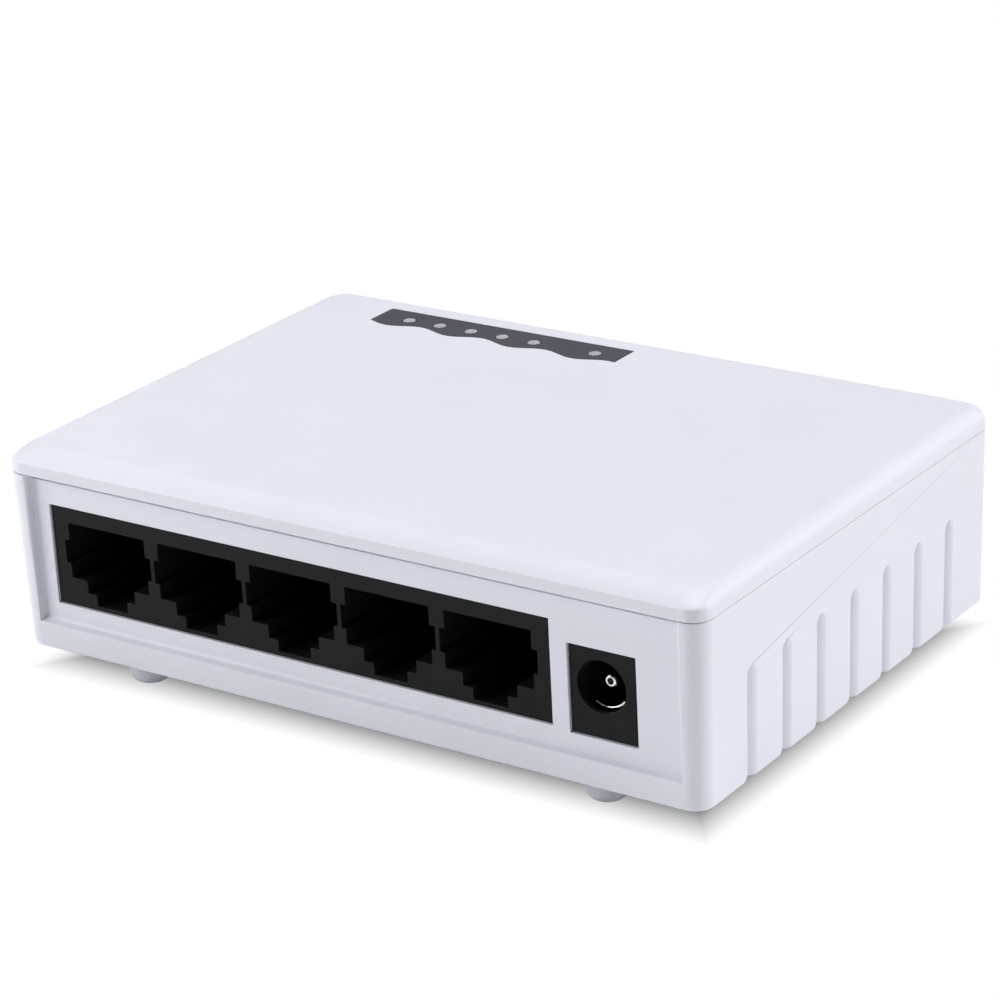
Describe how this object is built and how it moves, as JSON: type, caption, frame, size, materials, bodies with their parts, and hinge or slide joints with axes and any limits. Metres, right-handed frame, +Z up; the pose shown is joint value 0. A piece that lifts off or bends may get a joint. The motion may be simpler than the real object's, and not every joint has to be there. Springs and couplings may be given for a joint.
{
  "type": "desktop network switch",
  "caption": "Small white desktop network switch with a row of modular jacks, a round power jack, grooved sides, indicator strip on a lift-off cover, and a populated circuit board inside.",
  "frame": {"origin": "centre of the footprint, on the surface the feet rest on", "axes": "+X to the right as seen from the ports, +Y towards the back, +Z up; the ports face -Y"},
  "size_m": [0.0992, 0.0684, 0.0293],
  "materials": {
    "case_white": "moulded white plastic with a faint fine texture, satin to slightly glossy",
    "foot_rubber": "off-white matt rubber",
    "label_film": "dark grey printed film, satin",
    "light_diffuser": "milky translucent light guide",
    "jack_black": "black moulded jack plastic, semi-matt",
    "contact_gold": "gold-plated spring wire, polished",
    "jack_nickel": "nickel-plated sheet and turned metal, bright",
    "screw_steel": "zinc-plated steel",
    "board_laminate": "green solder-masked fibreglass board",
    "package_epoxy": "black moulded epoxy",
    "capacitor_sleeve": "dark shrink sleeve over an aluminium can",
    "inductor_ferrite": "dark grey ferrite",
    "lamp_body": "small surface-mounted lamp body"
  },
  "bodies": {
    "base": {"base_shell": "case_white", "foot_front_left": "foot_rubber", "foot_front_right": "foot_rubber", "foot_rear_left": "foot_rubber", "foot_rear_right": "foot_rubber", "case_screw_left": "screw_steel", "case_screw_right": "screw_steel", "port_housing": "jack_black", "port_1_insert": "jack_black", "port_2_insert": "jack_black", "port_3_insert": "jack_black", "port_4_insert": "jack_black", "port_5_insert": "jack_black", "power_jack_body": "jack_black", "power_jack_pin": "jack_nickel", "power_jack_side_contact": "jack_nickel", "circuit_board": "board_laminate", "switch_chip": "package_epoxy", "magnetics_module_1": "package_epoxy", "magnetics_module_2": "package_epoxy", "magnetics_module_3": "package_epoxy", "crystal_can": "jack_nickel", "input_capacitor": "capacitor_sleeve", "output_capacitor": "capacitor_sleeve", "power_inductor": "inductor_ferrite", "voltage_regulator": "package_epoxy", "input_diode": "package_epoxy", "link_lamp_1": "lamp_body", "link_lamp_2": "lamp_body", "link_lamp_3": "lamp_body", "link_lamp_4": "lamp_body", "link_lamp_5": "lamp_body", "power_lamp": "lamp_body", "board_screw_left": "screw_steel", "board_screw_right": "screw_steel"},
    "cover": {"top_cover": "case_white", "indicator_label": "label_film", "light_guide": "light_diffuser"},
    "port_1_spring": {"port_1_contacts": "contact_gold"},
    "port_2_spring": {"port_2_contacts": "contact_gold"},
    "port_3_spring": {"port_3_contacts": "contact_gold"},
    "port_4_spring": {"port_4_contacts": "contact_gold"},
    "port_5_spring": {"port_5_contacts": "contact_gold"},
    "power_jack_leaf": {"power_jack_spring": "jack_nickel"}
  },
  "joints": [
    {"name": "cover_lift", "type": "slide", "parent": "base", "child": "cover", "axis": [0, 0, 1], "range_m": [0, 0.03]},
    {"name": "port_1_contact_bend", "type": "hinge", "parent": "base", "child": "port_1_spring", "pos_m": [-0.0355, -0.02945, 0.02017], "axis": [1, 0, 0], "range_deg": [0, 14], "stiffness_Nm_per_rad": 0.00002},
    {"name": "port_2_contact_bend", "type": "hinge", "parent": "base", "child": "port_2_spring", "pos_m": [-0.02153, -0.02945, 0.02017], "axis": [1, 0, 0], "range_deg": [0, 14], "stiffness_Nm_per_rad": 0.00002},
    {"name": "port_3_contact_bend", "type": "hinge", "parent": "base", "child": "port_3_spring", "pos_m": [-0.00756, -0.02945, 0.02017], "axis": [1, 0, 0], "range_deg": [0, 14], "stiffness_Nm_per_rad": 0.00002},
    {"name": "port_4_contact_bend", "type": "hinge", "parent": "base", "child": "port_4_spring", "pos_m": [0.00641, -0.02945, 0.02017], "axis": [1, 0, 0], "range_deg": [0, 14], "stiffness_Nm_per_rad": 0.00002},
    {"name": "port_5_contact_bend", "type": "hinge", "parent": "base", "child": "port_5_spring", "pos_m": [0.02038, -0.02945, 0.02017], "axis": [1, 0, 0], "range_deg": [0, 14], "stiffness_Nm_per_rad": 0.00002},
    {"name": "power_jack_leaf_bend", "type": "hinge", "parent": "base", "child": "power_jack_leaf", "pos_m": [0.03551, -0.02265, 0.0125], "axis": [1, 0, 0], "range_deg": [0, 3], "stiffness_Nm_per_rad": 0.0001}
  ]
}
